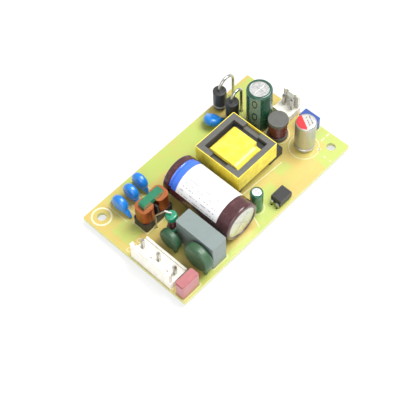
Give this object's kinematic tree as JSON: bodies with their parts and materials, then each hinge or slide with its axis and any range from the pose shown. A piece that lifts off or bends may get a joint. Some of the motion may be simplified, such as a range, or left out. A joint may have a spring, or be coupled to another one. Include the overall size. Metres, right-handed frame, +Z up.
{
  "type": "open frame power supply",
  "caption": "Open frame power supply: a bare board with mains and output headers, a choke, capacitors, a taped transformer, rectifiers and an optocoupler.",
  "frame": {"origin": "under the middle of the board, at the tips of the trimmed leads", "axes": "+X along the board from the mains header to the output header, +Y across the board, +Z up from the board's component side"},
  "size_m": [0.09, 0.052, 0.0236],
  "materials": {
    "board": "satin",
    "white_housing": "satin",
    "tinned_pin": "satin",
    "tinned_lead": "satin",
    "solder": "bright",
    "fuse_case": "satin",
    "varistor_coat": "satin",
    "thermistor_coat": "satin",
    "grey_box": "satin",
    "green_coat": "satin",
    "green_core": "satin",
    "copper_wire": "gloss",
    "black_moulding": "matte",
    "blue_coat": "satin",
    "bare_can": "satin",
    "brown_sleeve": "gloss",
    "green_sleeve": "gloss",
    "seal_rubber": "matte",
    "ferrite": "matte",
    "yellow_tape": "gloss",
    "red_wire": "gloss",
    "blue_box": "satin",
    "chip_parts": "satin"
  },
  "bodies": {
    "root": {"circuit_board": "board", "ac_header_housing": "white_housing", "dc_header_housing": "white_housing", "ac_header_pins": "tinned_pin", "dc_header_pins": "tinned_pin", "choke_pins": "tinned_pin", "transformer_pins": "tinned_pin", "fuse_leads": "tinned_lead", "varistor_leads": "tinned_lead", "thermistor_leads": "tinned_lead", "x_capacitor_leads": "tinned_lead", "axial_inductor_leads": "tinned_lead", "y_capacitor_leads": "tinned_lead", "bulk_capacitor_leads": "tinned_lead", "rectifier_leads": "tinned_lead", "output_capacitor_leads": "tinned_lead", "polymer_capacitor_leads": "tinned_lead", "drum_leads": "tinned_lead", "optocoupler_leads": "tinned_lead", "small_capacitor_leads": "tinned_lead", "film_capacitor_leads": "tinned_lead", "solder_joints": "solder", "fuse_case": "fuse_case", "varistor_body": "varistor_coat", "thermistor_body": "thermistor_coat", "x_capacitor_case": "grey_box", "axial_inductor_body": "green_coat", "choke_core": "green_core", "choke_coil_1": "copper_wire", "choke_coil_2": "copper_wire", "choke_base": "black_moulding", "transformer_bobbin": "black_moulding", "optocoupler_body": "black_moulding", "rectifier_1": "black_moulding", "rectifier_2": "black_moulding", "bridge_rectifier": "black_moulding", "controller_ic": "black_moulding", "shunt_regulator": "black_moulding", "y_capacitor_1": "blue_coat", "y_capacitor_2": "blue_coat", "y_capacitor_3": "blue_coat", "y_capacitor_4": "blue_coat", "bulk_capacitor_can": "bare_can", "output_capacitor_can": "bare_can", "polymer_capacitor_can": "bare_can", "small_capacitor_can": "bare_can", "bulk_capacitor_sleeve": "brown_sleeve", "output_capacitor_sleeve": "green_sleeve", "small_capacitor_sleeve": "green_sleeve", "bulk_capacitor_seal": "seal_rubber", "output_capacitor_seal": "seal_rubber", "transformer_core_1": "ferrite", "transformer_core_2": "ferrite", "drum_core": "ferrite", "transformer_winding": "yellow_tape", "transformer_tape": "yellow_tape", "drum_winding": "red_wire", "film_capacitor_case": "blue_box", "chip_parts": "chip_parts"}
  },
  "joints": []
}
